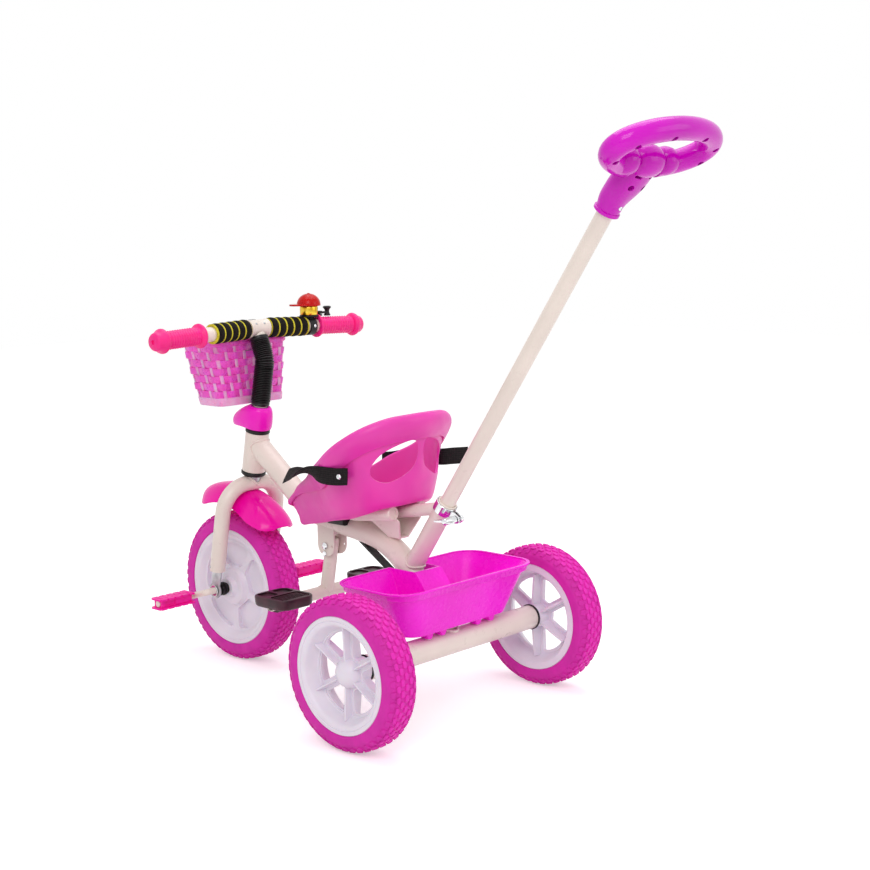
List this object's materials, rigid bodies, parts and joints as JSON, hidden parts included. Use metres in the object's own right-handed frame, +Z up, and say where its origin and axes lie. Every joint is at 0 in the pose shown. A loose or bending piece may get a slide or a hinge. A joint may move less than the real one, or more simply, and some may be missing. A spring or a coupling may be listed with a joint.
{
  "type": "tricycle",
  "caption": "Children's pink tricycle with push pole, rear bin, front basket, folding footrest, moulded bucket seat and foam tyres",
  "frame": {"origin": "on the ground, under the middle of the tricycle's bounding box", "axes": "+X is forward, the way the front wheel leads; +Y is the rider's left, along the rear axle; +Z is up"},
  "size_m": [0.9763, 0.441, 0.81],
  "materials": {
    "cream_paint": "gloss",
    "zinc": "satin",
    "chrome": "polished",
    "magenta_tyre": "matte",
    "lavender_rim": "satin",
    "pink_seat": "satin",
    "hot_pink": "satin",
    "magenta_bin": "gloss",
    "violet_handle": "gloss",
    "basket_pink": "gloss",
    "black_plastic": "satin",
    "black_hose": "satin",
    "brown_black": "satin",
    "black_foam": "matte",
    "black_webbing": "woven",
    "brass": "polished",
    "red_paint": "gloss"
  },
  "bodies": {
    "frame": {"main_tube": "cream_paint", "head_tube": "cream_paint", "rear_axle_tube": "cream_paint", "rear_axle_rod": "zinc", "pole_socket": "cream_paint", "pole_strut": "cream_paint", "seat_rail": "cream_paint", "seat_bracket": "cream_paint", "seat_block": "black_plastic", "seat_shell": "pink_seat", "belt_left": "black_webbing", "belt_right": "black_webbing", "rear_bin": "magenta_bin", "arch_stay": "black_plastic", "clamp_band": "chrome", "footrest_bracket": "cream_paint", "footrest_pivot_bolt": "chrome", "footrest_lock_pin": "chrome", "headset_ring_lower": "black_plastic", "headset_ring_upper": "black_plastic"},
    "footrest": {"footrest_post": "cream_paint", "footrest_cross_tube": "cream_paint", "footrest_pad_left": "brown_black", "footrest_pad_right": "brown_black"},
    "steering": {"fork_tube": "cream_paint", "steerer_tube": "zinc", "fork_dropout_left": "zinc", "fork_dropout_right": "zinc", "front_fender": "hot_pink", "steering_cap": "hot_pink", "stem_tube": "cream_paint", "stem_hose": "black_hose", "handlebar_tube": "cream_paint", "bar_sleeve": "cream_paint", "foam_left": "black_foam", "foam_right": "black_foam", "grip_left": "hot_pink", "grip_right": "hot_pink", "basket": "basket_pink", "basket_hanger": "zinc", "bell_base": "black_plastic", "bell_drum": "brass", "bell_cap": "red_paint"},
    "front_wheel": {"front_tyre": "magenta_tyre", "front_rim": "lavender_rim", "crank_axle": "zinc", "front_bush_left": "black_plastic", "front_bush_right": "black_plastic"},
    "pedal_left_body": {"pedal_left": "hot_pink"},
    "pedal_right_body": {"pedal_right": "hot_pink"},
    "rear_wheel_left": {"rear_tyre_left": "magenta_tyre", "rear_rim_left": "lavender_rim"},
    "rear_wheel_right": {"rear_tyre_right": "magenta_tyre", "rear_rim_right": "lavender_rim"},
    "bell_lever_body": {"bell_lever": "black_plastic"},
    "clamp_screw_body": {"clamp_screw": "chrome"},
    "push_pole_body": {"push_pole": "cream_paint", "handle_neck": "violet_handle"},
    "handle_ring_body": {"handle_ring": "violet_handle"}
  },
  "joints": [
    {"name": "steering", "type": "hinge", "parent": "frame", "child": "steering", "pos_m": [0.3692, 0, 0.1188], "axis": [-0.1977, 0, 0.9803], "range_deg": [-45, 45]},
    {"name": "front_wheel_roll", "type": "hinge", "parent": "steering", "child": "front_wheel", "pos_m": [0.3692, 0, 0.1188], "axis": [0, 1, 0], "continuous": true},
    {"name": "pedal_left_spin", "type": "hinge", "parent": "front_wheel", "child": "pedal_left_body", "pos_m": [0.40171, 0.113, 0.10886], "axis": [0, 1, 0], "continuous": true},
    {"name": "pedal_right_spin", "type": "hinge", "parent": "front_wheel", "child": "pedal_right_body", "pos_m": [0.33669, -0.113, 0.12874], "axis": [0, 1, 0], "continuous": true},
    {"name": "rear_wheel_left_roll", "type": "hinge", "parent": "frame", "child": "rear_wheel_left", "pos_m": [-0.084, 0.1966, 0.105], "axis": [0, 1, 0], "continuous": true},
    {"name": "rear_wheel_right_roll", "type": "hinge", "parent": "frame", "child": "rear_wheel_right", "pos_m": [-0.084, -0.1966, 0.105], "axis": [0, 1, 0], "continuous": true},
    {"name": "footrest_fold", "type": "hinge", "parent": "frame", "child": "footrest", "pos_m": [0.156, 0, 0.212], "axis": [0, 1, 0], "range_deg": [0, 75]},
    {"name": "bell_lever_flick", "type": "hinge", "parent": "steering", "child": "bell_lever_body", "pos_m": [0.30634, -0.12566, 0.55158], "axis": [0, 0, 1], "range_deg": [0, 30], "stiffness_Nm_per_rad": 0.02},
    {"name": "clamp_screw_turn", "type": "hinge", "parent": "frame", "child": "clamp_screw_body", "pos_m": [-0.09812, 0, 0.28129], "axis": [0, 1, 0], "continuous": true},
    {"name": "push_pole_slide", "type": "slide", "parent": "frame", "child": "push_pole_body", "axis": [-0.5692, 0, 0.8222], "range_m": [0, 0.06]},
    {"name": "handle_tilt", "type": "hinge", "parent": "push_pole_body", "child": "handle_ring_body", "pos_m": [-0.415, 0, 0.76], "axis": [0, 1, 0], "range_deg": [-90, 30]}
  ]
}
